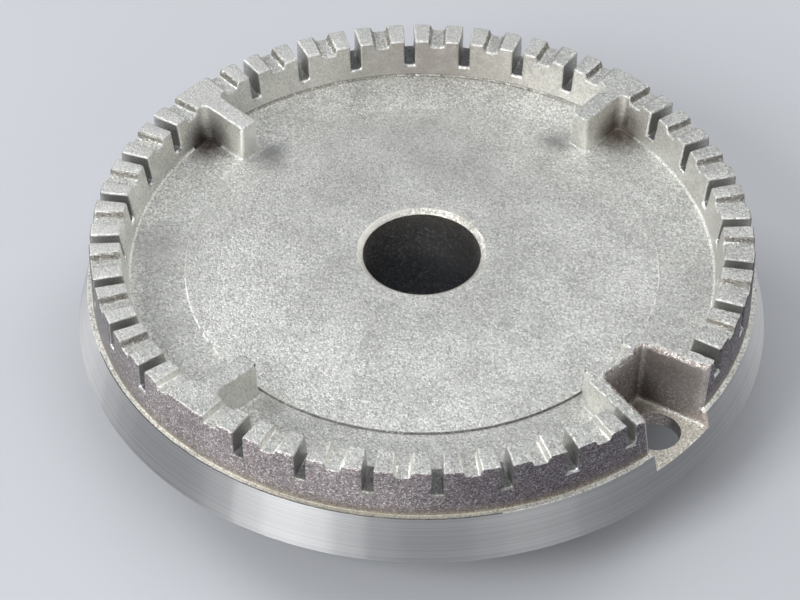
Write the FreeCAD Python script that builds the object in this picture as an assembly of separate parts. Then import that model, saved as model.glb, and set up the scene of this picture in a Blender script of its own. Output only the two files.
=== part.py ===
import FreeCAD, Part
import math
import os

# Flame spreader of a kitchen gas burner: one aluminium casting with a turned outer band.
# Millimetres. Z runs up the burner axis from the lower end of the spigot, X through the ignition pocket.

# Spigot and gas bore
bore_radius = 8.5
spigot_wall = 2.7
spigot_drop = 12.3
spigot_chamfer = 0.8
bore_chamfer_width = 0.75
bore_chamfer_depth = 0.65

# Turned band: a short cone round the outside, wider at its lower edge
band_bottom_radius = 50.0
band_taper = 1.7
band_height = 7.1
band_edge = 0.3
band_wall = 1.9

# Ring wall that stands on the band, inside a narrow land, and carries the gas ports
land_width = 0.7
wall_outer_draft = 0.1
wall_thickness = 4.4
wall_inner_draft = 0.9
ring_height = 7.9
outer_bevel = 0.5
inner_bevel = 0.2
foot_bevel = 0.3

# Floor inside the ring: flat middle, a soft shoulder, a shallow cone, then a lower channel
flat_width = 5.5
shoulder_width = 8.0
disc_rise = 2.1
disc_step = 0.3
channel_width = 8.0
channel_height = 1.5
channel_fall = 0.5
floor_thickness = 3.0

# Gas ports, in equal steps round the ring
port_steps = 32
quarter = port_steps // 4
slot_width = 1.55
slot_depth = 4.15
notch_top_width = 2.5
notch_floor_width = 1.9
notch_depth = 1.0
cut_margin = 1.0

# Lugs that run inward from the ring to the disc, a little lower than the tooth tops
lug_gap = 0.7
lug_drop = 0.8
lug_top_width = 2.8
lug_foot_width = 3.5
lug_end_round = 0.4

# Ignition pocket, open to the outside, with the electrode hole in its floor
pocket_wall = 2.4
pocket_run = 4.4
pocket_lug_angle = 6.2
pocket_ease = 0.6
cross_wall = 1.0
pocket_floor_height = 4.5
pocket_floor_thickness = 2.2
pocket_draft = 4.5
electrode_radius = 3.5
electrode_relief = 0.4
electrode_setback = 5.9

# Radii that follow from the sizes above
spigot_radius = bore_radius + spigot_wall
band_top_radius = band_bottom_radius - band_taper
band_inner_radius = band_top_radius - band_wall
wall_foot_outer_radius = band_top_radius - land_width
wall_top_outer_radius = wall_foot_outer_radius - wall_outer_draft
wall_top_inner_radius = wall_top_outer_radius - wall_thickness
wall_foot_inner_radius = wall_top_inner_radius - wall_inner_draft
disc_radius = wall_foot_inner_radius - channel_width
shoulder_radius = bore_radius + flat_width + shoulder_width / 2
lug_inner_radius = disc_radius + lug_gap
pocket_inner_radius = wall_foot_inner_radius - pocket_run
electrode_pitch_radius = pocket_inner_radius + electrode_setback

# Levels that follow from the sizes above
band_bottom = spigot_drop
band_top = band_bottom + band_height
ring_top = band_top + ring_height
lug_top = ring_top - lug_drop
channel_inner = band_top + channel_height
channel_outer = channel_inner + channel_fall
disc_edge = channel_inner + disc_step
disc_top = disc_edge + disc_rise
slot_floor = ring_top - slot_depth
ceiling_low = channel_inner - floor_thickness
ceiling_high = disc_top - floor_thickness
pocket_floor = band_bottom + pocket_floor_height
pocket_base = pocket_floor - pocket_floor_thickness
step_angle = 360.0 / port_steps

axis_point = FreeCAD.Vector(0, 0, 0)
axis_up = FreeCAD.Vector(0, 0, 1)


def face_of(points):
    """A flat face from a closed run of points."""
    return Part.Face(Part.makePolygon(points + points[:1]))


def turned(shape, angle):
    """A copy turned about the burner axis."""
    copy = shape.copy()
    copy.rotate(axis_point, axis_up, angle)
    return copy


def corner(radius, level, bevel=0, bend=0):
    """A corner of the turning profile, with how far a bevel or a bend runs back along both its sides."""
    return FreeCAD.Vector(radius, 0, level), bevel, bend


def eased_edge(start, point, end, bend):
    """The edge across an eased corner: an arc where it bends, otherwise straight."""
    if bend == 0:
        return Part.makeLine(start, end)
    half = (start - point).getAngle(end - point) / 2
    radius = bend * math.tan(half)
    inward = ((start - point) + (end - point)).normalize()
    middle = point + inward * (radius / math.sin(half) - radius)
    return Part.Arc(start, middle, end).toShape()


def profile_face(corners):
    """The face of a closed turning profile."""
    edges = []
    ends = []
    count = len(corners)
    for index in range(count):
        point, bevel, bend = corners[index]
        before = corners[index - 1][0]
        after = corners[(index + 1) % count][0]
        start = point + (before - point).normalize() * (bevel + bend)
        end = point + (after - point).normalize() * (bevel + bend)
        if ends:
            edges.append(Part.makeLine(ends[-1], start))
        if bevel + bend > 0:
            edges.append(eased_edge(start, point, end, bend))
        ends += [start, end]
    edges.append(Part.makeLine(ends[-1], ends[0]))
    return Part.Face(Part.Wire(edges))


# Turned body: bore, spigot, hollow underside, band, ring wall and floor in one profile
body = profile_face([
    corner(bore_radius, 0),
    corner(spigot_radius, 0, bevel=spigot_chamfer),
    corner(spigot_radius, ceiling_high),
    corner(shoulder_radius, ceiling_high),
    corner(disc_radius, ceiling_low),
    corner(band_inner_radius, ceiling_low),
    corner(band_inner_radius, band_bottom),
    corner(band_bottom_radius - band_edge, band_bottom),
    corner(band_bottom_radius, band_bottom + band_edge),
    corner(band_top_radius, band_top),
    corner(wall_foot_outer_radius, band_top),
    corner(wall_top_outer_radius, ring_top, bevel=outer_bevel),
    corner(wall_top_inner_radius, ring_top, bevel=inner_bevel),
    corner(wall_foot_inner_radius, channel_outer, bevel=foot_bevel),
    corner(disc_radius, channel_inner),
    corner(disc_radius, disc_edge),
    corner(shoulder_radius, disc_top, bend=shoulder_width / 2),
    corner(bore_radius + bore_chamfer_width, disc_top),
    corner(bore_radius, disc_top - bore_chamfer_depth),
]).revolve(axis_point, axis_up, 360)


def lug_bar(outer_radius):
    """A radial bar along X that rises from the channel, its sides drafted and its inner end rounded."""
    root = channel_inner - floor_thickness / 2
    section = face_of([
        FreeCAD.Vector(lug_inner_radius, -lug_foot_width / 2, root),
        FreeCAD.Vector(lug_inner_radius, lug_foot_width / 2, root),
        FreeCAD.Vector(lug_inner_radius, lug_top_width / 2, lug_top),
        FreeCAD.Vector(lug_inner_radius, -lug_top_width / 2, lug_top),
    ])
    bar = section.extrude(FreeCAD.Vector(outer_radius - lug_inner_radius, 0, 0))
    upright = []
    for edge in bar.Edges:
        reach = edge.BoundBox
        at_inner_end = reach.XMax < (lug_inner_radius + outer_radius) / 2
        if at_inner_end and reach.ZLength > (lug_top - root) / 2:
            upright.append(edge)
    return bar.makeFillet(lug_end_round, upright)


# Three plain lugs a quarter turn apart; the pocket takes the fourth place with a lug on either side of it
plain_lug = lug_bar((wall_top_inner_radius + wall_top_outer_radius) / 2)
for place in (quarter, 2 * quarter, 3 * quarter):
    body = body.fuse(turned(plain_lug, place * step_angle))
pocket_lug = lug_bar(pocket_inner_radius)
for side in (-1, 1):
    body = body.fuse(turned(pocket_lug, side * pocket_lug_angle))


def port_side(radius, inset):
    """Half width, at a distance along X, of the space between the two ports that flank the pocket."""
    lean = math.radians(step_angle)
    return radius * math.tan(lean) - (slot_width / 2 + inset) / math.cos(lean)


def wedge_wire(inner, outer, level, inset, mouth_gain=0):
    """Outline at one level of a wedge between the flanking ports, wider at its mouth by the gain given."""
    near = port_side(inner, inset)
    far = port_side(outer, inset) + mouth_gain
    corners = [
        FreeCAD.Vector(inner, -near, level),
        FreeCAD.Vector(outer, -far, level),
        FreeCAD.Vector(outer, far, level),
        FreeCAD.Vector(inner, near, level),
    ]
    return Part.makePolygon(corners + corners[:1])


# Pocket box: walls flush with the flanking ports, a thin cross wall and a floor below the channel
box_inner = pocket_inner_radius - cross_wall
pocket_reach = band_bottom_radius + cut_margin
box_height = lug_top - pocket_base
box_block = Part.Face(wedge_wire(box_inner, pocket_reach, pocket_base, 0)).extrude(axis_up * box_height)
box_outer_radius = (band_inner_radius + wall_top_outer_radius) / 2
box_limit = Part.makeCylinder(box_outer_radius, box_height, FreeCAD.Vector(0, 0, pocket_base))
body = body.fuse(box_block.common(box_limit))

# Between the flanking ports the ring is as low as the lugs, with its outer edge bevelled as on the teeth
rim_reach = outer_bevel + cut_margin
rim_ring = profile_face([
    corner(lug_inner_radius, lug_top),
    corner(wall_top_outer_radius - outer_bevel, lug_top),
    corner(wall_top_outer_radius + cut_margin, lug_top - rim_reach),
    corner(wall_top_outer_radius + cut_margin, ring_top + cut_margin),
    corner(lug_inner_radius, ring_top + cut_margin),
]).revolve(axis_point, axis_up, 360)
rim_block = Part.Face(wedge_wire(box_inner, pocket_reach, lug_top - rim_reach, 0))
body = body.cut(rim_ring.common(rim_block.extrude(axis_up * (rim_reach + lug_drop + cut_margin))))

# Pocket space: drafted so that it widens upward, open through the ring wall and the top of the band
lean = math.tan(math.radians(pocket_draft))
floor_inset = pocket_wall + (lug_top - pocket_floor) * lean
pocket_low = wedge_wire(pocket_inner_radius, pocket_reach, pocket_floor, floor_inset)
pocket_high = wedge_wire(pocket_inner_radius, pocket_reach, lug_top, pocket_wall)
body = body.cut(Part.makeLoft([pocket_low, pocket_high], True, True))

# The pocket's upper edges are eased, more towards its mouth
ease_inset = pocket_wall + pocket_ease * lean
ease_low = wedge_wire(pocket_inner_radius, pocket_reach, lug_top - pocket_ease, ease_inset)
ease_high = wedge_wire(pocket_inner_radius, pocket_reach, lug_top, pocket_wall, mouth_gain=pocket_ease)
body = body.cut(Part.makeLoft([ease_low, ease_high], True, True))

# Electrode hole through the pocket floor, with a wider way below it past the inside of the band
hole_place = FreeCAD.Vector(electrode_pitch_radius, 0, pocket_base)
body = body.cut(Part.makeCylinder(electrode_radius, pocket_floor_thickness + cut_margin, hole_place))
way_place = FreeCAD.Vector(electrode_pitch_radius, 0, band_bottom - cut_margin)
way_height = pocket_base - band_bottom + cut_margin
body = body.cut(Part.makeCylinder(electrode_radius + electrode_relief, way_height, way_place))

# Through slots at every step but the lugs and the pocket
cut_inner = wall_foot_inner_radius - cut_margin
cut_length = band_top_radius + cut_margin - cut_inner
slot = Part.makeBox(cut_length, slot_width, slot_depth + cut_margin)
slot.translate(FreeCAD.Vector(cut_inner, -slot_width / 2, slot_floor))
slots = []
for step in range(port_steps):
    if step % quarter != 0:
        slots.append(turned(slot, step * step_angle))
body = body.cut(slots)

# Shallow notches half way between the steps, with sloped sides
notch_slope = (notch_top_width - notch_floor_width) / 2 / notch_depth
notch_reach = notch_top_width / 2 + notch_slope * cut_margin
notch = face_of([
    FreeCAD.Vector(cut_inner, -notch_floor_width / 2, ring_top - notch_depth),
    FreeCAD.Vector(cut_inner, notch_floor_width / 2, ring_top - notch_depth),
    FreeCAD.Vector(cut_inner, notch_reach, ring_top + cut_margin),
    FreeCAD.Vector(cut_inner, -notch_reach, ring_top + cut_margin),
]).extrude(FreeCAD.Vector(cut_length, 0, 0))
notches = []
for step in range(1, port_steps - 1):
    notches.append(turned(notch, (step + 0.5) * step_angle))
body = body.cut(notches)

body = body.removeSplitter()
os.makedirs("parts", exist_ok=True)
solid = body.Solids[0]
solid.exportStep("parts/flame_spreader.step")
print("solids", len(body.Solids), "valid", solid.isValid(), "volume", round(solid.Volume, 1))
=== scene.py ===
import math
import bmesh
import bpy
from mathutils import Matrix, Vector, noise


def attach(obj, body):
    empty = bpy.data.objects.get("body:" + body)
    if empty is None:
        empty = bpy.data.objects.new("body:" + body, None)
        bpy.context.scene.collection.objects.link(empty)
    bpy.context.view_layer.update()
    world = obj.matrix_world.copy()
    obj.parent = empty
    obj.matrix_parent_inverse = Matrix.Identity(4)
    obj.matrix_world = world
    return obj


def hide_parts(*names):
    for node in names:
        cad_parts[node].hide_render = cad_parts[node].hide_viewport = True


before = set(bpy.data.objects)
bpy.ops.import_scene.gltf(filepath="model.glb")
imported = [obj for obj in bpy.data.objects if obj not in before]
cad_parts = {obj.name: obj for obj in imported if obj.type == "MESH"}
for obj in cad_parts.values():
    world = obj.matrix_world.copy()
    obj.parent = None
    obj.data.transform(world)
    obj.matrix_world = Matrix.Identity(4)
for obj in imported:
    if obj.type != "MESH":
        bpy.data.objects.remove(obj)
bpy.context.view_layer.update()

# Turned form of the casting
# One die-cast aluminium crown, drawn in millimetres. Bore, spigot, hollow underside, outer band and dished floor
# are one round form. Its profile is spun in uneven steps, so that ports, lugs and pocket later find their edges.
PORT_STEP = 11.25
PORT_RADIUS = 45.0
SLOT_HALF, NOTCH_HALF, LUG_HALF, POCKET_WALL = 0.775, 1.1, 1.6, 2.4
POCKET_LUG_ANGLE = 6.2
BORE, SPIGOT, DISC, HOLLOW = 8.5, 11.2, 34.2, 46.4
LUG_END, BOX_INNER, POCKET_INNER, WALL_INNER, WALL_OUTER = 34.9, 36.55, 37.8, 42.2, 47.6
BAND_FOOT, PAD_BASE, POCKET_FLOOR, CEILING, BAND_TOP, CHANNEL = 12.3, 14.6, 16.8, 17.9, 19.4, 21.4
SAME_POINT = 0.001
spigot_side = [(BORE, 0), (10.4, 0), (SPIGOT, 0.8), (SPIGOT, 20.3)]
underside = [(18.0, 20.3), (DISC, CEILING), (BOX_INNER, CEILING), (HOLLOW, CEILING), (HOLLOW, PAD_BASE),
             (HOLLOW, BAND_FOOT)]
band_side = [(49.7, BAND_FOOT), (50.0, 12.6), (48.95, POCKET_FLOOR), (48.3, BAND_TOP)]
channel_floor = [(WALL_OUTER, BAND_TOP), (WALL_INNER, CHANNEL), (POCKET_INNER, 21.125), (BOX_INNER, 21.05),
                 (LUG_END, 20.95), (DISC, 20.9)]
dished_floor = [(DISC, 21.2), (21.97, 22.79), (20.0, 23.01), (18.0, 23.17), (16.0, 23.27), (14.0, 23.3), (9.25, 23.3),
                (BORE, 22.65)]
turning_profile = spigot_side + underside + band_side + channel_floor + dished_floor
stations = [("middle", 0.0, 0.0)]
for step in range(1, 32):
    kind, half = ("slot", SLOT_HALF) if step % 8 else ("lug", LUG_HALF)
    stations += [(kind, step * PORT_STEP, -half), (kind, step * PORT_STEP, half)]
for step in range(1, 31):
    stations += [("notch", (step + 0.5) * PORT_STEP, side * NOTCH_HALF) for side in (-1, 1)]
for side in (-1, 1):
    stations.append(("pocket", side * PORT_STEP, -side * (SLOT_HALF + POCKET_WALL)))
    stations += [("lug", side * POCKET_LUG_ANGLE, -LUG_HALF), ("lug", side * POCKET_LUG_ANGLE, LUG_HALF)]


def spun_angle(station):
    """Angle of a station where the ports are cut, from 0 to 360 degrees."""
    return (station[1] + math.degrees(math.asin(station[2] / PORT_RADIUS))) % 360


stations.sort(key=spun_angle)
casting = bmesh.new()
corners = [casting.verts.new((radius, 0, level)) for radius, level in turning_profile]
last = corners + [casting.edges.new((corners[i - 1], corners[i])) for i in range(len(corners))]
turns = [spun_angle(station) for station in stations] + [360.0]
for start, end in zip(turns, turns[1:]):
    made = bmesh.ops.spin(casting, geom=last, cent=(0, 0, 0), axis=(0, 0, 1), angle=math.radians(end - start), steps=1)
    last = made["geom_last"]
bmesh.ops.remove_doubles(casting, verts=casting.verts[:], dist=SAME_POINT)

# Port ring, lugs and pocket walls
# Cast in one with the floor. They rise from it in lifts: to the slot floors, the notch floors, the lug tops and at
# last the tooth tops. What stays behind at a lift is the slot, notch or lug itself, so everything is one skin.
SLOT_FLOOR, NOTCH_FLOOR, LUG_TOP, RING_TOP = 23.15, 26.3, 26.5, 27.3
RING_FOOT, FOOT_REACH = 42.6, 0.6
INNER_DRAFT, OUTER_DRAFT = 0.9, 0.1
EIGHTH_TURN = 45


def place(face):
    """Radius, angle and level of a face's middle."""
    middle = face.calc_center_median()
    return math.hypot(middle.x, middle.y), math.degrees(math.atan2(middle.y, middle.x)) % 360, middle.z


def off_step(angle, first):
    """Degrees from the nearest of the port steps, or of the half steps between them."""
    return abs((angle - first + PORT_STEP / 2) % PORT_STEP - PORT_STEP / 2)


def off_quarter(angle):
    """Degrees from the nearest quarter of the turn, where the pocket and the three plain lugs are."""
    return abs((angle + EIGHTH_TURN) % 90 - EIGHTH_TURN)


def spread(half):
    """Half the angle that a cut of that half width takes where the ports are."""
    return math.degrees(math.asin(half / PORT_RADIUS))


def apart(angle, other):
    """Degrees between two directions."""
    return abs((angle - other + 180) % 360 - 180)


def from_pocket(angle):
    """Degrees from the middle of the pocket."""
    return apart(angle, 0)


POCKET_SIDE = PORT_STEP - spread(SLOT_HALF + POCKET_WALL)
BOX_SIDE = PORT_STEP - spread(SLOT_HALF)


def in_lug(radius, angle):
    plain = off_quarter(angle) < spread(LUG_HALF) and from_pocket(angle) > EIGHTH_TURN
    beside_pocket = abs(from_pocket(angle) - POCKET_LUG_ANGLE) < spread(LUG_HALF) and radius < BOX_INNER
    return LUG_END < radius < WALL_INNER and (plain or beside_pocket)


def in_box(radius, angle):
    away = from_pocket(angle)
    cross_wall = BOX_INNER < radius < POCKET_INNER and away < BOX_SIDE
    side_wall = POCKET_INNER < radius < WALL_OUTER and POCKET_SIDE < away < BOX_SIDE
    return cross_wall or side_wall


def in_ring(radius, angle):
    return RING_FOOT < radius < WALL_OUTER and from_pocket(angle) > BOX_SIDE


def lift(faces, level):
    """Moves faces to a level, with new walls at their border that follow the ring's draft."""
    border = list(dict.fromkeys(edge for face in faces for edge in face.edges))
    made = bmesh.ops.extrude_face_region(casting, geom=faces + border)["geom"]
    for vert in [item for item in made if isinstance(item, bmesh.types.BMVert)]:
        radius, rise = math.hypot(vert.co.x, vert.co.y), level - vert.co.z
        drafted_to = radius
        if level > CEILING and abs(radius - RING_FOOT) < FOOT_REACH:
            drafted_to += INNER_DRAFT * rise / (RING_TOP - CHANNEL)
        if level > CEILING and abs(radius - WALL_OUTER) < 0.2:
            drafted_to -= OUTER_DRAFT * rise / (RING_TOP - BAND_TOP)
        vert.co.x *= drafted_to / radius
        vert.co.y *= drafted_to / radius
        vert.co.z = level
    return [item for item in made if isinstance(item, bmesh.types.BMFace)]


def chosen(faces, rule):
    picked = []
    for face in faces:
        radius, angle, level = place(face)
        if rule(radius, angle, level):
            picked.append(face)
    return picked


def rises(r, a, z):
    return z > BAND_TOP + 0.3 and (in_ring(r, a) or in_lug(r, a) or in_box(r, a))


def beside_slots(r, a, z):
    return not in_ring(r, a) or off_step(a, 0) > spread(SLOT_HALF) or off_quarter(a) < spread(LUG_HALF)


def beside_notches(r, a, z):
    return not in_ring(r, a) or off_step(a, PORT_STEP / 2) > spread(NOTCH_HALF)


raised = lift(chosen(casting.faces, rises), SLOT_FLOOR)
raised = lift(chosen(raised, beside_slots), NOTCH_FLOOR)
lift(chosen(raised, beside_notches), LUG_TOP)

# Ignition pocket
# The space for the spark electrode is sunk through the floor and the rim of the band, and the floor below
# it hangs down as a pad on the underside. The hole for the electrode is drilled, with a relief in the band.
HOLE_AT, HOLE, RELIEF = 43.7, 3.5, 3.9
DRILL_FOOT, DRILL_TOP = 11, 17.5


def over_pocket(r, a, z):
    return POCKET_INNER < r and from_pocket(a) < POCKET_SIDE - 0.5 and z > CEILING + 0.1


def over_pad(r, a, z):
    return BOX_INNER < r < HOLLOW and from_pocket(a) < BOX_SIDE and abs(z - CEILING) < 0.01


def band_behind_pad(r, a, z):
    return abs(r - HOLLOW) < 0.2 and from_pocket(a) < BOX_SIDE and abs(z - (CEILING + PAD_BASE) / 2) < 0.1


lift(chosen(casting.faces, over_pocket), POCKET_FLOOR)
bmesh.ops.delete(casting, geom=chosen(casting.faces, band_behind_pad), context="FACES")
lift(chosen(casting.faces, over_pad), PAD_BASE)
bmesh.ops.delete(casting, geom=chosen(casting.faces, band_behind_pad), context="FACES")
bmesh.ops.remove_doubles(casting, verts=casting.verts[:], dist=SAME_POINT)
bmesh.ops.dissolve_degenerate(casting, edges=casting.edges[:], dist=SAME_POINT)
bmesh.ops.recalc_face_normals(casting, faces=casting.faces[:])
casting_mesh = bpy.data.meshes.new("flame_spreader_casting")
casting.to_mesh(casting_mesh)
casting.free()
casting_piece = bpy.data.objects.new("flame_spreader_casting", casting_mesh)
bpy.context.scene.collection.objects.link(casting_piece)

drill = bmesh.new()
drill_profile = ((0, DRILL_FOOT), (RELIEF, DRILL_FOOT), (RELIEF, PAD_BASE), (HOLE, PAD_BASE), (HOLE, DRILL_TOP),
                 (0, DRILL_TOP))
drill_points = [drill.verts.new((HOLE_AT + radius, 0, level)) for radius, level in drill_profile]
drill_edges = [drill.edges.new(pair) for pair in zip(drill_points, drill_points[1:])]
bmesh.ops.spin(drill, geom=drill_points + drill_edges, cent=(HOLE_AT, 0, 0), axis=(0, 0, 1), angle=math.tau, steps=64,
               use_merge=True)
bmesh.ops.remove_doubles(drill, verts=drill.verts[:], dist=SAME_POINT)
bmesh.ops.recalc_face_normals(drill, faces=drill.faces[:])
drill_mesh = bpy.data.meshes.new("electrode_drill")
drill.to_mesh(drill_mesh)
drill.free()
drill_piece = bpy.data.objects.new("electrode_drill", drill_mesh)
bpy.context.scene.collection.objects.link(drill_piece)
drilling = casting_piece.modifiers.new("electrode_hole", "BOOLEAN")
drilling.operation = "DIFFERENCE"
drilling.solver = "EXACT"
drilling.object = drill_piece
drilled = bpy.data.meshes.new_from_object(casting_piece.evaluated_get(bpy.context.evaluated_depsgraph_get()))
casting_piece.modifiers.remove(drilling)
bpy.data.objects.remove(drill_piece)
casting = bmesh.new()
casting.from_mesh(drilled)
bpy.data.meshes.remove(drilled)
bmesh.ops.remove_doubles(casting, verts=casting.verts[:], dist=SAME_POINT)

# Straight sides and tooth tops
# Slots, notches, lugs and pocket walls have parallel or drafted sides, so each station's points move from the
# spun angle to the side they belong to. Then the lug corners are rounded, and teeth and plain lugs rise together
# above the pocket's walls; a lug's top falls a little towards its end.
NOTCH_FOOT_HALF, NOTCH_FLARE = 0.95, 0.3
LUG_CREST_HALF, LUG_DRAFT = 1.48, 0.04
POCKET_DRAFT, POCKET_FLARE = math.tan(math.radians(4.5)), 0.45
LUG_ROOT, LUG_FALL = 43.1, 0.05
TALL_EDGE = 3
SHARP, SEAM = math.radians(24), math.radians(15)


def straighten(verts, only=None):
    for vert in verts:
        radius, level = vert.co.xy.length, vert.co.z
        angle = math.degrees(math.atan2(vert.co.y, vert.co.x)) % 360
        kind, direction, offset = min(stations, key=lambda s: apart(spun_angle(s), angle))
        off = apart(spun_angle((kind, direction, offset)), angle)
        if only and (kind != only or off > 0.3) or math.hypot(vert.co.x - HOLE_AT, vert.co.y) < RELIEF + 0.1:
            continue
        low = LUG_TOP - min(level, LUG_TOP)
        past_cross_wall = radius > BOX_INNER + 0.1 and abs(direction) == POCKET_LUG_ANGLE and direction * offset > 0
        if kind == "lug" and past_cross_wall:
            kind, direction = "wall", math.copysign(PORT_STEP, direction)
            offset = -math.copysign(SLOT_HALF + 0.4 * POCKET_WALL, direction)
        if kind == "notch":
            offset *= (NOTCH_FOOT_HALF + NOTCH_FLARE * max(level - NOTCH_FLOOR, 0)) / NOTCH_HALF
        if kind == "lug":
            offset *= (LUG_CREST_HALF + LUG_DRAFT * low) / LUG_HALF
        if kind == "pocket" and radius > BOX_INNER - 0.1:
            mouth = POCKET_FLARE * max(radius - POCKET_INNER, 0) / (WALL_OUTER - POCKET_INNER) * max(1 - low / 2, 0)
            offset *= 1 + (low * POCKET_DRAFT - mouth) / abs(offset)
        turn = math.radians(direction) + math.asin(offset / max(radius, DISC))
        vert.co.x, vert.co.y = radius * math.cos(turn), radius * math.sin(turn)


def height(edge):
    return abs(edge.verts[0].co.z - edge.verts[1].co.z)


def join_walls():
    """Takes out the level seams that the lifts left on walls."""
    bmesh.ops.recalc_face_normals(casting, faces=casting.faces[:])
    seams = [edge for edge in casting.edges if edge.is_manifold and edge.calc_face_angle() < SEAM
             and height(edge) < SAME_POINT and edge.verts[0].co.z > BAND_TOP + 0.1
             and max(abs(face.normal.z) for face in edge.link_faces) < 0.3]
    bmesh.ops.dissolve_edges(casting, edges=seams, use_verts=True)


def sharp_edges(rule):
    found = []
    for edge in casting.edges:
        if edge.is_manifold and edge.calc_face_angle() > SHARP:
            middle = (edge.verts[0].co + edge.verts[1].co) / 2
            angle = math.degrees(math.atan2(middle.y, middle.x)) % 360
            if rule(edge, middle.xy.length, angle, middle.z):
                found.append(edge)
    return found


def in_order(loose):
    """The same mesh with its points and faces in order of place, so that every run eases and cuts it alike."""
    points = sorted(loose.verts, key=lambda vert: tuple(round(value, 4) for value in vert.co))
    for order, vert in enumerate(points):
        vert.index = order
    rings = []
    for face in loose.faces:
        ring = [vert.index for vert in face.verts]
        first = ring.index(min(ring))
        rings.append(ring[first:] + ring[:first])
    ordered_mesh = bpy.data.meshes.new("ordered")
    ordered_mesh.from_pydata([tuple(vert.co) for vert in points], [], sorted(rings))
    loose.free()
    ordered = bmesh.new()
    ordered.from_mesh(ordered_mesh)
    bpy.data.meshes.remove(ordered_mesh)
    return ordered


def ease(rule, offset, segments):
    """Rounds the sharp edges that a rule picks."""
    bmesh.ops.bevel(casting, geom=sharp_edges(rule), offset=offset, offset_type="OFFSET", affect="EDGES",
                    segments=segments, profile=0.5, material=-1, clamp_overlap=False)


def is_lug_corner(edge, r, a, z):
    at_wall = abs(r - RING_FOOT) < FOOT_REACH and from_pocket(a) > EIGHTH_TURN
    return height(edge) > TALL_EDGE and not edge.is_convex and at_wall


def is_tooth_or_lug_top(r, a, z):
    return abs(z - LUG_TOP) < 0.01 and from_pocket(a) > BOX_SIDE and (in_ring(r, a) or in_lug(r, a))


straighten(casting.verts)
join_walls()
casting = in_order(casting)
ease(is_lug_corner, 1.15, 5)
lift(chosen(casting.faces, is_tooth_or_lug_top), RING_TOP)
tops = [vert for vert in casting.verts if vert.co.z > RING_TOP - 0.01]
straighten(tops, "notch")
for vert in tops:
    vert.co.z -= LUG_FALL * max(LUG_ROOT - vert.co.xy.length, 0)
join_walls()
box_seams = [edge for edge in casting.edges if all(abs(vert.co.z - LUG_TOP) < 0.01 for vert in edge.verts)
             and all(face.normal.z > 0.99 for face in edge.link_faces)]
bmesh.ops.dissolve_edges(casting, edges=box_seams, use_verts=True)

# Eased edges
# The mould gives wide rounds where lugs meet the wall and around the pocket's mouth; tumbling after casting
# leaves softer rounds on the teeth and lugs, and small ones elsewhere. The skin of a casting is never quite even.
RIM_FOOT, RIM_FADE = 24.2, 1.5
UNEVEN_FROM, UNEVEN_FADE = 21.6, 2
SMOOTH_BELOW = math.radians(50)


def is_lug_end(edge, r, a, z):
    return edge.is_convex and height(edge) > TALL_EDGE and r < LUG_END + 0.4 and z > CHANNEL


def is_pocket_corner(edge, r, a, z):
    in_pocket = POCKET_INNER - 0.3 < r < WALL_OUTER - 0.2 and from_pocket(a) < POCKET_SIDE + 0.5
    return not edge.is_convex and in_pocket and z > POCKET_FLOOR - 0.1


def is_pocket_rim(edge, r, a, z):
    return edge.is_convex and r > POCKET_INNER - 0.3 and from_pocket(a) < POCKET_SIDE + 1.3 and z > BAND_TOP + 0.5


def is_cast_edge(edge, r, a, z):
    turn = math.radians(a)
    by_hole = math.hypot(r * math.cos(turn) - HOLE_AT, r * math.sin(turn)) < RELIEF + 0.3 and z < DRILL_TOP
    by_band = r > WALL_OUTER - 0.3 and z < BAND_TOP + 0.3
    on_ring = z > 20.7 and r > DISC + 0.3
    in_pocket = r > 36 and from_pocket(a) < POCKET_SIDE and z > POCKET_FLOOR - 0.3
    return (on_ring or in_pocket) and not by_hole and not by_band


def is_crisp_edge(edge, r, a, z):
    mouth = r > WALL_OUTER - 0.3 and from_pocket(a) < POCKET_SIDE + 0.8 and z < BAND_TOP + 0.3
    drilled_below = r > 39 and from_pocket(a) < 6 and z < PAD_BASE + 0.2
    return z > 12 and not mouth and not drilled_below and not is_cast_edge(edge, r, a, z)


for rule, offset, segments in ((is_lug_end, 0.55, 4), (is_pocket_corner, 0.7, 4), (is_pocket_rim, 0.85, 5),
                               (is_cast_edge, 0.32, 3), (is_crisp_edge, 0.1, 2)):
    casting = in_order(casting)
    ease(rule, offset, segments)


def by_pocket(vert):
    angle = math.degrees(math.atan2(vert.co.y, vert.co.x))
    return vert.co.z > RIM_FOOT and vert.co.xy.length > BOX_INNER - 0.2 and from_pocket(angle) < BOX_SIDE


def above_channel(vert):
    return vert.co.z > 20.5 and vert.co.xy.length > LUG_END - 0.2


for rule, longest in ((above_channel, 1.1), (by_pocket, 0.6), (by_pocket, 0.6), (by_pocket, 0.6)):
    casting = in_order(casting)
    long_edges = [edge for edge in casting.edges if edge.calc_length() > longest and all(rule(v) for v in edge.verts)]
    bmesh.ops.subdivide_edges(casting, edges=long_edges, cuts=1, use_grid_fill=True)
casting = in_order(casting)
for vert in casting.verts:
    if by_pocket(vert) and vert.co.xy.length < POCKET_INNER + 0.6:
        worn = max(noise.noise(Vector((vert.co.y * 0.8, 3.7, 0))) + 0.35, 0) * min((vert.co.z - RIM_FOOT) / RIM_FADE, 1)
        worn *= min(max(4.2 - abs(vert.co.y), 0), 1) * min(max(vert.co.x - BOX_INNER, 0), 1)
        vert.co.x -= 0.3 * worn
        vert.co.z -= 0.5 * worn
noise.seed_set(1)
for vert in casting.verts:
    if vert.co.z > UNEVEN_FROM and vert.co.xy.length > LUG_END - 0.3:
        waver = noise.noise_vector(vert.co * 0.7) * 0.06 + noise.noise_vector(vert.co * 2.1) * 0.035
        if by_pocket(vert):
            waver += noise.noise_vector(vert.co * 1.3) * 0.12
        vert.co += waver * min((vert.co.z - UNEVEN_FROM) / UNEVEN_FADE, 1)
        vert.co.z = min(vert.co.z, RING_TOP)
bmesh.ops.recalc_face_normals(casting, faces=casting.faces[:])
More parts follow.
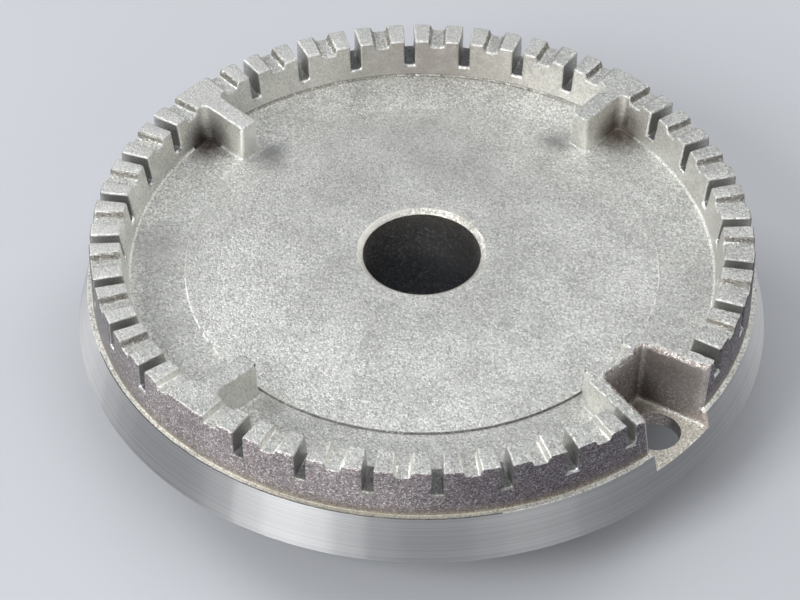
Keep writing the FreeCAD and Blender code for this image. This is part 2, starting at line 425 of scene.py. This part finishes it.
for edge in casting.edges:
    edge.smooth = edge.calc_face_angle(0) < SMOOTH_BELOW

# As-cast skin
# Grey-white aluminium with fine beads from the mould, about 0.3 mm across, on the disc, the channel and the
# tops of teeth and lugs. Heat has left brown stains by two lugs. The disc at the ends of the three plain lugs carries
# painted shade and the channel at the left is a little greyer; at the back the tooth tops are painted brighter as a
# painted highlight.
MM = 0.001
CLOUDINESS = 0.1


def add_node(tree, kind, sockets=None, **settings):
    made = tree.nodes.new(kind)
    for name, value in settings.items():
        setattr(made, name, value)
    for name, value in (sockets or {}).items():
        if isinstance(value, bpy.types.NodeSocket):
            tree.links.new(value, made.inputs[name])
        else:
            made.inputs[name].default_value = value
    return made


def mixed(tree, factor, first, second, blend="MIX"):
    made = add_node(tree, "ShaderNodeMix", {0: factor, 6: first, 7: second}, data_type="RGBA", blend_type=blend)
    return made.outputs[2]


def mapped(tree, value, low, high, to_low, to_high):
    made = add_node(tree, "ShaderNodeMapRange", {"Value": value, "From Min": low, "From Max": high, "To Min": to_low,
                                                 "To Max": to_high}, interpolation_type="SMOOTHSTEP")
    return made.outputs["Result"]


def grainy(name, dark, middle, light, roughness, relief, bead=0.22, spark=0.9):
    """A metal with beads of random tone, a few of them bright, and a beaded relief; bead is in millimetres."""
    finish = bpy.data.materials.new(name)
    finish.use_nodes = True
    tree = finish.node_tree
    shader = tree.nodes["Principled BSDF"]
    shader.inputs["Metallic"].default_value = 1.0
    spot = add_node(tree, "ShaderNodeTexCoord", name="spot").outputs["Object"]
    fine = add_node(tree, "ShaderNodeTexNoise", {"Vector": spot, "Scale": 0.9 / (bead * MM), "Detail": 2.0})
    uneven = add_node(tree, "ShaderNodeVectorMath", {0: fine.outputs["Color"], 1: (1.6 * bead * MM,) * 3, 2: spot},
                      operation="MULTIPLY_ADD")
    beads = add_node(tree, "ShaderNodeTexVoronoi", {"Vector": uneven.outputs["Vector"], "Scale": 1 / (bead * MM)})
    tone = add_node(tree, "ShaderNodeSeparateColor", {"Color": beads.outputs["Color"]}).outputs["Red"]
    ramp = add_node(tree, "ShaderNodeValToRGB", {"Fac": tone})
    ramp.color_ramp.elements[0].color = (*dark, 1)
    ramp.color_ramp.elements[1].color = (*light, 1)
    ramp.color_ramp.elements.new(0.35).color = (*middle, 1)
    ramp.color_ramp.elements.new(spark).color = (*(m * 1.12 for m in middle), 1)
    cloud = add_node(tree, "ShaderNodeTexNoise", {"Vector": spot, "Scale": 140.0, "Detail": 5.0, "Roughness": 0.6})
    shade = mapped(tree, cloud.outputs["Fac"], 0.3, 0.7, 1 - CLOUDINESS, 1 + CLOUDINESS)
    relief_form = add_node(tree, "ShaderNodeMath", {0: fine.outputs["Fac"], 1: beads.outputs["Distance"]},
                           operation="SUBTRACT").outputs["Value"]
    bump = add_node(tree, "ShaderNodeBump", {"Strength": relief, "Distance": 0.09 * MM, "Height": relief_form})
    tree.links.new(mixed(tree, 1.0, ramp.outputs["Color"], shade, "MULTIPLY"), shader.inputs["Base Color"])
    tree.links.new(mapped(tree, tone, 0, 1, roughness + 0.1, roughness - 0.1), shader.inputs["Roughness"])
    tree.links.new(bump.outputs["Normal"], shader.inputs["Normal"])
    return finish


def recolour(finish, amount, tint, blend="MIX"):
    """Mixes a tint into a finish's colour, by an amount that its nodes give."""
    base = finish.node_tree.nodes["Principled BSDF"].inputs["Base Color"]
    tinted = mixed(finish.node_tree, amount, base.links[0].from_socket, (*tint, 1), blend)
    finish.node_tree.links.new(tinted, base)


def stain(finish, centre, reach, tint, strength):
    """Lays a soft-edged stain on a finish, broken up by a coarse noise; centre and reach are in millimetres."""
    tree = finish.node_tree
    spot = tree.nodes["spot"].outputs["Object"]
    away = add_node(tree, "ShaderNodeVectorMath", {0: spot, 1: [c * MM for c in centre]}, operation="DISTANCE")
    patchy = add_node(tree, "ShaderNodeTexNoise", {"Vector": spot, "Scale": 700.0, "Detail": 4.0})
    soft = mapped(tree, away.outputs["Value"], reach * MM, 0.0, 0.0, strength)
    broken = mapped(tree, patchy.outputs["Fac"], 0.3, 0.6, 0.75, 1.0)
    amount = add_node(tree, "ShaderNodeMath", {0: soft, 1: broken}, operation="MULTIPLY")
    recolour(finish, amount.outputs["Value"], tint)


as_cast = grainy("as_cast_aluminium", (0.41, 0.415, 0.4), (0.63, 0.635, 0.615), (1.0, 1.0, 0.97), 0.55, 0.75,
                 bead=0.23, spark=0.72)
stain(as_cast, (-40.9, -3.0, 21.4), 5.6, (0.06, 0.043, 0.04), 1.0)
stain(as_cast, (3.4, 40.9, 21.4), 6.0, (0.12, 0.092, 0.075), 0.97)
# Painted shade on the disc at the ends of the three plain lugs; a greyer patch in the channel at the left
stain(as_cast, (-32.9, 2.5, 21.6), 4.0, (0.24, 0.245, 0.26), 0.8)
stain(as_cast, (-3.0, 33.3, 21.6), 4.0, (0.22, 0.22, 0.225), 0.85)
stain(as_cast, (4.1, -34.3, 21.2), 4.0, (0.3, 0.3, 0.28), 0.6)
stain(as_cast, (-31.0, -24.2, 21.4), 7.0, (0.45, 0.45, 0.44), 0.6)
tree = as_cast.node_tree
# Painted highlight: the tooth tops at the back are painted brighter, as if more light fell there
spot = add_node(tree, "ShaderNodeSeparateXYZ", {"Vector": tree.nodes["spot"].outputs["Object"]})
on_tops = mapped(tree, spot.outputs["Z"], 26.2 * MM, 26.8 * MM, 0.0, 1.0)
at_back = mapped(tree, spot.outputs["X"], 0.0, -30 * MM, 0.0, 0.33)
back_tops_painted_light = add_node(tree, "ShaderNodeMath", {0: on_tops, 1: at_back}, operation="MULTIPLY")
recolour(as_cast, back_tops_painted_light.outputs["Value"], (0.97, 0.97, 0.95))

# Drafted walls
# The inner wall of the ring and the sides of the lugs drag on the mould, so they are smoother and a little warmer
# than the rest. The heat stains run up them by two lugs, one lug's end carries a painted highlight, the walls at the
# right carry painted shade, and the walls at the back are painted darker and browner.
drafted = grainy("drafted_walls", (0.63, 0.625, 0.59), (0.78, 0.775, 0.73), (0.98, 0.97, 0.93), 0.5, 0.25, bead=0.24)
stain(drafted, (-41.3, -3.0, 21.8), 5.6, (0.065, 0.047, 0.043), 1.0)
stain(drafted, (2.8, 41.6, 22.0), 6.0, (0.15, 0.12, 0.1), 0.93)
# Painted highlight on one lug's end
stain(drafted, (-34.4, 0.4, 24.5), 4.5, (1.0, 0.99, 0.94), 1.0)
# Painted shade on the walls at the right; the walls at the back are painted darker and browner
stain(drafted, (31.0, 29.0, 24.0), 27.0, (0.48, 0.47, 0.45), 0.8)
stain(drafted, (-27.0, 33.0, 23.5), 30.0, (0.42, 0.385, 0.355), 0.85)

# Outer wall of the ports
# The flame side of the port ring, cast like the rest. Its dark purplish grey with bright specks is painted reflection
# and shade, bluer by the pocket and greyer at the back; its foot is brown, with a ragged cream edge to the land.


def fade(finish, axis, start, end, tint, strength, blend="MIX"):
    """Brings a tint into a finish from start to end along an axis, in millimetres."""
    tree = finish.node_tree
    along = add_node(tree, "ShaderNodeSeparateXYZ", {"Vector": tree.nodes["spot"].outputs["Object"]}).outputs[axis]
    recolour(finish, mapped(tree, along, start * MM, end * MM, 0.0, strength), tint, blend)


outer_wall = grainy("flame_side_wall", (0.205, 0.177, 0.177), (0.43, 0.38, 0.376), (1.0, 0.93, 0.91), 0.5, 0.55,
                    bead=0.19, spark=0.74)
# Painted reflection and shade: darker and bluer towards the pocket
fade(outer_wall, "X", 22, 43, (0.29, 0.29, 0.33), 0.86, "MULTIPLY")
fade(outer_wall, "X", 0, -26, (0.235, 0.23, 0.226), 0.75)
fade(outer_wall, "Z", 21.2, 19.8, (0.3, 0.25, 0.2), 0.5)
tree = outer_wall.node_tree
spot = tree.nodes["spot"].outputs["Object"]
ragged = add_node(tree, "ShaderNodeTexNoise", {"Vector": spot, "Scale": 2500.0, "Detail": 3.0}).outputs["Fac"]
level = add_node(tree, "ShaderNodeSeparateXYZ", {"Vector": spot}).outputs["Z"]
foot = add_node(tree, "ShaderNodeMath", {0: ragged, 1: 1.4 * MM, 2: level}, operation="MULTIPLY_ADD")
recolour(outer_wall, mapped(tree, foot.outputs["Value"], 20.7 * MM, 20.1 * MM, 0.0, 0.75), (0.6, 0.56, 0.45))

# Land
# The narrow step between the outer wall and the turned band, as cast, cream and granular, and duller at the front.
# The lathe tool has left a dark line where its cut meets the land, and the same dark skin lies in the stained feet
# of the wall by two lugs.
land = grainy("land_cream", (0.42, 0.42, 0.39), (0.79, 0.79, 0.745), (1.0, 1.0, 0.98), 0.48, 0.8, bead=0.2, spark=0.7)
stain(land, (28.0, -39.0, 19.4), 30.0, (0.4, 0.39, 0.32), 0.6)
edge_line = grainy("tool_edge_line", (0.08, 0.08, 0.08), (0.13, 0.127, 0.123), (0.25, 0.245, 0.23), 0.5, 0.4,
                   spark=0.85)
stain(edge_line, (-41.0, -2.8, 21.4), 6.0, (0.04, 0.03, 0.027), 1.0)
stain(edge_line, (3.0, 41.0, 21.4), 7.0, (0.17, 0.14, 0.118), 1.0)

# Slots and notches
# The slots are cast through the ring for the gas. Their sides are smooth and painted darker as shade, their floors
# are painted dark grey as shade, and small bright burrs hang at the ends of the floors. The steps of the notches are
# painted a dull brownish grey as shade, and at the front they keep the pale wall finish as painted light.
# Slot sides are painted darker than the walls, as shade
slot_side = grainy("slot_sides", (0.41, 0.41, 0.39), (0.52, 0.52, 0.5), (0.7, 0.7, 0.67), 0.48, 0.2, bead=0.18)
burr = grainy("slot_burrs", (0.35, 0.34, 0.33), (0.75, 0.74, 0.72), (1.0, 1.0, 0.98), 0.42, 0.6, bead=0.6, spark=0.7)
# Slot floors are painted dark grey, as shade in the narrow slots
slot_floor = grainy("slot_floors", (0.15, 0.152, 0.155), (0.235, 0.237, 0.24), (0.42, 0.42, 0.41), 0.5, 0.4)
# Painted shade on the notch steps, the back of the ring's foot and the slot-floor ends at the front
notch_side = grainy("notch_sides", (0.2, 0.194, 0.175), (0.35, 0.338, 0.31), (0.72, 0.7, 0.65), 0.55, 0.5, bead=0.25,
                    spark=0.8)

# Pocket
# Cast walls around the spark electrode, browned by spark and flame with pinkish specks, with painted shade in the
# corners and paler at rim and mouth. The floor is golden and granular with a painted shadow by the cross wall, and
# the upper edges of the lugs beside it carry painted shade.
pocket_wall = grainy("pocket_walls", (0.24, 0.215, 0.2), (0.36, 0.33, 0.31), (0.85, 0.77, 0.74), 0.5, 0.45, bead=0.2,
                     spark=0.75)
fade(pocket_wall, "Z", 23.5, 26.2, (0.6, 0.54, 0.51), 0.6)
fade(pocket_wall, "X", 41, 47, (0.62, 0.56, 0.53), 0.35)
# Painted shade in the pocket's inner corners
stain(pocket_wall, (38.5, 4.0, 18.5), 4.5, (0.1, 0.08, 0.07), 0.65)
stain(pocket_wall, (38.5, -4.0, 20.0), 6.0, (0.12, 0.1, 0.085), 0.7)
pocket_floor = grainy("pocket_floor", (0.42, 0.405, 0.36), (0.66, 0.645, 0.585), (1.0, 0.98, 0.92), 0.5, 0.5,
                      spark=0.75)
# Painted shadow on the floor by the cross wall
stain(pocket_floor, (39.0, 1.5, 16.8), 5.5, (0.17, 0.145, 0.12), 0.85)
pocket_rim = grainy("pocket_rim", (0.17, 0.15, 0.135), (0.47, 0.43, 0.395), (0.95, 0.88, 0.84), 0.5, 0.7, spark=0.74)
# Painted shade for the far upper edges of lugs and the front of the disc's step
lug_edge = grainy("pocket_lug_edges", (0.13, 0.13, 0.125), (0.22, 0.22, 0.21), (0.5, 0.5, 0.48), 0.55, 0.5)

# Bore and underside
# Cast skin too. The bore is dark, brownish below its rim and darker and bluish further down; the chamfer at its
# rim is pale, with a painted highlight on one side. The underside is plain grey and never sees the flame.
bore_skin = grainy("bore_skin", (0.13, 0.13, 0.13), (0.27, 0.265, 0.26), (0.8, 0.78, 0.73), 0.5, 0.6, bead=0.3,
                   spark=0.72)
fade(bore_skin, "Z", 19.5, 22.5, (0.42, 0.36, 0.32), 0.45)
fade(bore_skin, "Z", 18, 12, (0.17, 0.18, 0.21), 0.6)
bore_chamfer = grainy("bore_chamfer", (0.44, 0.43, 0.395), (0.61, 0.6, 0.555), (0.9, 0.88, 0.83), 0.58, 0.7, bead=0.28,
                      spark=0.75)
# Painted highlight on one side of the chamfer
stain(bore_chamfer, (-8.4, -2.8, 23.0), 12.0, (1.0, 0.98, 0.92), 1.0)
under_skin = grainy("underside_skin", (0.36, 0.36, 0.35), (0.52, 0.52, 0.5), (0.75, 0.75, 0.72), 0.55, 0.5)

# Turned band
# The one machined surface of the casting, turned bright on a lathe. The tool has left fine lines around it, which
# spread the highlights upright.
LINE_SPACING = (6.0, 6.0, 6500.0)
LINE_LOW, LINE_HIGH = 0.3, 0.7
band = bpy.data.materials.new("turned_band")
band.use_nodes = True
tree = band.node_tree
shader = tree.nodes["Principled BSDF"]
shader.inputs["Metallic"].default_value = 1.0
shader.inputs["Anisotropic"].default_value = 0.9
shader.inputs["Anisotropic Rotation"].default_value = 0.25
tangent = add_node(tree, "ShaderNodeTangent", direction_type="RADIAL", axis="Z")
tree.links.new(tangent.outputs["Tangent"], shader.inputs["Tangent"])
spot = add_node(tree, "ShaderNodeTexCoord").outputs["Object"]
along = add_node(tree, "ShaderNodeMapping", {"Vector": spot, "Scale": LINE_SPACING}).outputs["Vector"]
lines = add_node(tree, "ShaderNodeTexNoise", {"Vector": along, "Scale": 1.0, "Detail": 1.0, "Roughness": 0.5})
lines = lines.outputs["Fac"]
ramp = add_node(tree, "ShaderNodeValToRGB", {"Fac": lines})
ramp.color_ramp.elements[0].position = LINE_LOW
ramp.color_ramp.elements[0].color = (0.45, 0.455, 0.463, 1)
ramp.color_ramp.elements[1].position = LINE_HIGH
ramp.color_ramp.elements[1].color = (0.56, 0.56, 0.56, 1)
tree.links.new(ramp.outputs["Color"], shader.inputs["Base Color"])
tree.links.new(mapped(tree, lines, LINE_LOW, LINE_HIGH, 0.55, 0.43), shader.inputs["Roughness"])
bump = add_node(tree, "ShaderNodeBump", {"Strength": 0.12, "Distance": 0.03 * MM, "Height": lines})
tree.links.new(bump.outputs["Normal"], shader.inputs["Normal"])

# Finishes on the casting
# The casting is one piece, so each face takes its finish from its place and from how far it faces outward and up.
# Zones are given as a direction and a reach in degrees, counted from the pocket; the front is at 315.
DARK_TOOL_LINE, SHADED_DISC_STEP = (284, 42), (311, 49)
BACK_FOOT_SHADE, RIGHT_FOOT_HIGHLIGHT, LEFT_FOOT_HIGHLIGHT = (135, 43), (43, 33), (220, 33)
SHADED_SLOT_ENDS, DARK_SLOT_MOUTHS, LIT_NOTCHES = (300, 30), (40, 32), (315, 58)
POCKET_LUGS, FRONT_LUG = (0, 12), (270, 5)
STAINED_FEET, STAINED_FOOT_REACH = (Vector((-41.0, -2.8)), Vector((3.0, 41.0))), 2.3
WALL_FACE = 46.9
finishes = [as_cast, drafted, outer_wall, land, edge_line, slot_side, burr, slot_floor, notch_side, pocket_wall,
            pocket_floor, pocket_rim, lug_edge, bore_skin, bore_chamfer, under_skin, band]
for finish in finishes:
    casting_mesh.materials.append(finish)


def within(angle, zone):
    return apart(angle, zone[0]) < zone[1]


def low_finish(r, a, z, outward, up):
    """Finish of a face below the channel, or none: bore, underside, band, land and the disc's step."""
    if r < BORE + 0.9 and outward < -0.2:
        return bore_chamfer if z > 22.6 else bore_skin
    if up < -0.4 or r < SPIGOT + 0.8 and outward > 0.4 or r < WALL_OUTER + 0.2 and z < CEILING + 0.1 and outward < -0.4:
        return under_skin
    if z < CEILING + 0.1 and r < HOLLOW + 0.2 and from_pocket(a) > POCKET_SIDE + 1.2:
        return under_skin
    band_edge = r > 48.0 and z > BAND_TOP - 0.12 and 0.2 < up < 0.97 and outward > 0.2
    if band_edge and from_pocket(a) > POCKET_SIDE + 1:
        return edge_line if within(a, DARK_TOOL_LINE) else land
    # The disc's step is painted dark as shade at the front, and pale elsewhere as burr and painted highlight
    if abs(r - DISC) < 0.14 and abs(up) < 0.95:
        return lug_edge if within(a, SHADED_DISC_STEP) else burr
    if r > 49.85 - 0.25 * (z - 12.6) and z < BAND_TOP + 0.02 and outward > 0.3:
        return band
    if r > WALL_OUTER - 0.2 and BAND_TOP - 0.4 < z < BAND_TOP + 0.1 and up > 0.8:
        return land
    return None


def pocket_finish(r, a, z, outward, up):
    """Finish of a face in or by the pocket, or none: its mouth, walls, floor, rim and the lugs' upper edges."""
    in_pocket = from_pocket(a) < POCKET_SIDE + 0.8
    if r > 47.0 and in_pocket and BAND_TOP - 0.4 < z < BAND_TOP + 0.1 and up > 0.5:
        return notch_side
    # The far upper edges of the pocket lugs and the front lug are painted dark as shade
    shaded_lug = within(a, POCKET_LUGS) or within(a, FRONT_LUG)
    if r < LUG_END + 0.9 and shaded_lug and z > LUG_TOP - 0.5 and 0.1 < up < 0.93 and outward < -0.12:
        return lug_edge
    if r > POCKET_INNER - 0.3 and in_pocket and z < LUG_TOP - 0.65:
        return pocket_floor if up > 0.6 and z < CEILING + 0.1 else pocket_wall
    if r > POCKET_INNER - 0.6 and from_pocket(a) < POCKET_SIDE + 2.2 and z > LUG_TOP - 0.7 and up < 0.93:
        return pocket_rim
    return None


def ring_finish(r, a, z, outward, up):
    """Finish of a face on the port ring, the lugs, the channel and the disc."""
    spot = Vector((r * math.cos(math.radians(a)), r * math.sin(math.radians(a))))
    sloping = 0.15 < up < 0.97
    if min((spot - foot).length for foot in STAINED_FEET) < STAINED_FOOT_REACH and z < CHANNEL + 0.4 and sloping:
        return edge_line
    # The ring wall's inner foot is painted dark as shade at the back, and pale as a painted highlight at the right and
    # left
    if WALL_INNER - 0.4 < r < WALL_INNER + 0.7 and z < CHANNEL + 0.35 and sloping and outward < -0.1:
        if within(a, BACK_FOOT_SHADE):
            return notch_side
        if within(a, RIGHT_FOOT_HIGHLIGHT) or within(a, LEFT_FOOT_HIGHLIGHT):
            return land
    plain_tooth = not in_lug(WALL_INNER - 0.2, a)
    in_slot = r > WALL_INNER and off_step(a, 0) * math.radians(r) < SLOT_HALF + 0.12 and plain_tooth
    # The outward ends of slot floors at the front are painted dark as shade; elsewhere they take bright burrs
    if in_slot and SLOT_FLOOR - 0.4 < z < SLOT_FLOOR + 0.3 and abs(outward) > 0.25 and up > 0.2:
        return notch_side if outward > 0 and within(a, SHADED_SLOT_ENDS) else burr
    if in_slot and r > WALL_FACE and outward > 0.1 and abs(up) < 0.5 and within(a, DARK_SLOT_MOUTHS):
        return outer_wall
    # Slot floors and sides take darker finishes, painted shade for the deep narrow slots
    if in_slot and SLOT_FLOOR - 0.1 < z < RING_TOP - 0.3 and abs(outward) < 0.5:
        return slot_floor if up > 0.6 else slot_side
    in_notch = r > WALL_INNER + 0.2 and off_step(a, PORT_STEP / 2) * math.radians(r) < NOTCH_HALF + 0.45
    on_step = z > NOTCH_FLOOR - 0.05 and up < 0.82 and abs(outward) < 0.4 and from_pocket(a) > BOX_SIDE
    # Notch steps are painted dark as shade, and pale as painted light at the front
    if in_notch and on_step and plain_tooth:
        return drafted if within(a, LIT_NOTCHES) else notch_side
    if r > WALL_FACE and z > BAND_TOP and (outward > 0.6 or outward > 0.2 and abs(up) < 0.3):
        return outer_wall
    box_wall = r > BOX_INNER + 0.3 and from_pocket(a) < POCKET_SIDE + 1.2
    return drafted if abs(up) < 0.5 and r > DISC + 0.3 and not box_wall else as_cast


for face in casting.faces:
    r, a, z = place(face)
    turn = math.radians(a)
    outward = face.normal.x * math.cos(turn) + face.normal.y * math.sin(turn)
    facing = (r, a, z, outward, face.normal.z)
    finish = low_finish(*facing) or pocket_finish(*facing) or ring_finish(*facing)
    face.material_index = finishes.index(finish)
    face.smooth = True
bmesh.ops.scale(casting, vec=(MM, MM, MM), verts=casting.verts[:])
casting.to_mesh(casting_mesh)
casting.free()
weighted = casting_piece.modifiers.new("even_shading", "WEIGHTED_NORMAL")
weighted.keep_sharp = True
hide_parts("flame_spreader")
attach(casting_piece, "root")

# Floor
# A plain table top, painted a pale cool grey and matt, level with the spigot's lower end. It only shows the part
# and takes its shadow.
floor_mesh = bpy.data.meshes.new("floor")
floor_form = bmesh.new()
bmesh.ops.create_grid(floor_form, x_segments=1, y_segments=1, size=3.0)
floor_form.to_mesh(floor_mesh)
floor_form.free()
floor_piece = bpy.data.objects.new("floor", floor_mesh)
bpy.context.scene.collection.objects.link(floor_piece)
floor_paint = bpy.data.materials.new("floor_paint")
floor_paint.use_nodes = True
floor_paint.node_tree.nodes["Principled BSDF"].inputs["Base Color"].default_value = (0.55, 0.566, 0.6, 1)
floor_paint.node_tree.nodes["Principled BSDF"].inputs["Roughness"].default_value = 0.6
floor_mesh.materials.append(floor_paint)

# Lamps and room
# Soft boxes on stands: the key at the front left, one at the left back, one at the right back, a large one above
# and a weak one at the front right. The room is an even cool grey that brightens overhead.
LIT_POINT = Vector((0, 0, 0.02))
for name, turn, rise, away, size, power in (
        ("key_box", -88, 38, 0.75, 0.3, 3.5), ("left_box", -172, 30, 0.8, 0.3, 2.05),
        ("right_box", 85, 30, 0.8, 0.3, 1.2), ("top_box", 0, 90, 0.9, 0.9, 2.15), ("fill_box", -15, 32, 0.8, 0.3, 0.8)):
    box = bpy.data.lights.new(name, "AREA")
    box.energy = power
    box.size = size
    box_piece = bpy.data.objects.new(name, box)
    turn, rise = math.radians(turn), math.radians(rise)
    direction = Vector((math.cos(turn) * math.cos(rise), math.sin(turn) * math.cos(rise), math.sin(rise)))
    box_piece.location = away * direction
    box_piece.rotation_euler = (LIT_POINT - box_piece.location).to_track_quat("-Z", "Y").to_euler()
    bpy.context.scene.collection.objects.link(box_piece)
world = bpy.data.worlds.new("room")
bpy.context.scene.world = world
world.use_nodes = True
tree = world.node_tree
tree.nodes["Background"].inputs["Color"].default_value = (0.95, 0.97, 1.0, 1)
upward = add_node(tree, "ShaderNodeSeparateXYZ", {"Vector": add_node(tree, "ShaderNodeTexCoord").outputs["Generated"]})
tree.links.new(mapped(tree, upward.outputs["Z"], 0.1, 0.75, 0.08, 0.36), tree.nodes["Background"].inputs["Strength"])

# Camera
# A long lens at the photo's viewing angle, about 45 degrees above the table, with the pocket at the lower right.
# Its place was fitted to the circles of the casting.
camera = bpy.data.cameras.new("photo_view")
camera.lens = 127.66
camera.sensor_width = 36
camera_piece = bpy.data.objects.new("photo_view", camera)
camera_piece.location = (0.201561, -0.222284, 0.300223)
camera_piece.rotation_euler = (math.radians(46.2985), 0, math.radians(42.8027))
bpy.context.scene.collection.objects.link(camera_piece)
bpy.context.scene.camera = camera_piece
bpy.context.scene.view_settings.view_transform = "Standard"
